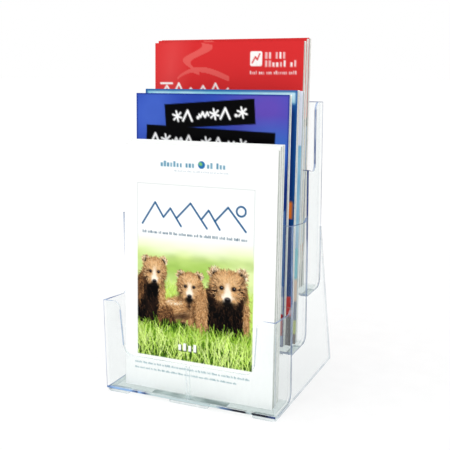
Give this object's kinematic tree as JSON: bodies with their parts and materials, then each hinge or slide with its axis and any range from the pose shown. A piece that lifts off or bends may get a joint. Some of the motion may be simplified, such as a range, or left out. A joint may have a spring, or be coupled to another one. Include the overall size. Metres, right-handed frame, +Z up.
{
  "type": "brochure rack",
  "caption": "Free-standing clear plastic countertop rack with stepped tiers, finger scoops and side stand panels, loaded with brochures that lift out.",
  "frame": {"origin": "on the table, under the middle of the rack's footprint", "axes": "+X to the right as seen from the front, +Y from front to back, +Z up"},
  "size_m": [0.22, 0.2182, 0.4239],
  "materials": {
    "clear_plastic": "crystal-clear moulded polystyrene with a faint blue-green tint, polished",
    "clear_foot": "clear moulded pad, polished",
    "page_paper": "coated paper, cut page edges",
    "cover_meadow": "gloss-coated card, white cover with a framed meadow picture",
    "cover_blue": "gloss-coated card, violet-blue printed cover with dark blocks",
    "cover_cyan": "gloss-coated card, cyan and navy printed cover",
    "cover_lilac": "gloss-coated card, pale lilac printed cover",
    "cover_red": "gloss-coated card, red printed cover with a pale brush pattern"
  },
  "bodies": {
    "rack": {"front_pocket": "clear_plastic", "middle_pocket": "clear_plastic", "rear_pocket": "clear_plastic", "left_stand_panel": "clear_plastic", "right_stand_panel": "clear_plastic", "front_foot_left": "clear_foot", "front_foot_centre": "clear_foot", "front_foot_right": "clear_foot"},
    "front_brochure_1": {"front_brochure_1_cover": "cover_meadow", "front_brochure_1_pages": "page_paper"},
    "front_brochure_2": {"front_brochure_2_cover": "cover_meadow", "front_brochure_2_pages": "page_paper"},
    "front_brochure_3": {"front_brochure_3_cover": "cover_meadow", "front_brochure_3_pages": "page_paper"},
    "middle_brochure_1": {"middle_brochure_1_cover": "cover_blue", "middle_brochure_1_pages": "page_paper"},
    "middle_brochure_2": {"middle_brochure_2_cover": "cover_cyan", "middle_brochure_2_pages": "page_paper"},
    "middle_brochure_3": {"middle_brochure_3_cover": "cover_lilac", "middle_brochure_3_pages": "page_paper"},
    "rear_brochure_1": {"rear_brochure_1_cover": "cover_red", "rear_brochure_1_pages": "page_paper"},
    "rear_brochure_2": {"rear_brochure_2_cover": "cover_red", "rear_brochure_2_pages": "page_paper"},
    "rear_brochure_3": {"rear_brochure_3_cover": "cover_red", "rear_brochure_3_pages": "page_paper"}
  },
  "joints": [
    {"name": "front_brochure_1_lift", "type": "slide", "parent": "rack", "child": "front_brochure_1", "axis": [0, 0.0349, 0.9994], "range_m": [0, 0.3]},
    {"name": "front_brochure_2_lift", "type": "slide", "parent": "rack", "child": "front_brochure_2", "axis": [0, 0.0349, 0.9994], "range_m": [0, 0.3]},
    {"name": "front_brochure_3_lift", "type": "slide", "parent": "rack", "child": "front_brochure_3", "axis": [0, 0.0349, 0.9994], "range_m": [0, 0.3]},
    {"name": "middle_brochure_1_lift", "type": "slide", "parent": "rack", "child": "middle_brochure_1", "axis": [0, 0.0349, 0.9994], "range_m": [0, 0.3]},
    {"name": "middle_brochure_2_lift", "type": "slide", "parent": "rack", "child": "middle_brochure_2", "axis": [0, 0.0349, 0.9994], "range_m": [0, 0.3]},
    {"name": "middle_brochure_3_lift", "type": "slide", "parent": "rack", "child": "middle_brochure_3", "axis": [0, 0.0349, 0.9994], "range_m": [0, 0.3]},
    {"name": "rear_brochure_1_lift", "type": "slide", "parent": "rack", "child": "rear_brochure_1", "axis": [0, 0.0349, 0.9994], "range_m": [0, 0.3]},
    {"name": "rear_brochure_2_lift", "type": "slide", "parent": "rack", "child": "rear_brochure_2", "axis": [0, 0.0349, 0.9994], "range_m": [0, 0.3]},
    {"name": "rear_brochure_3_lift", "type": "slide", "parent": "rack", "child": "rear_brochure_3", "axis": [0, 0.0349, 0.9994], "range_m": [0, 0.3]}
  ]
}
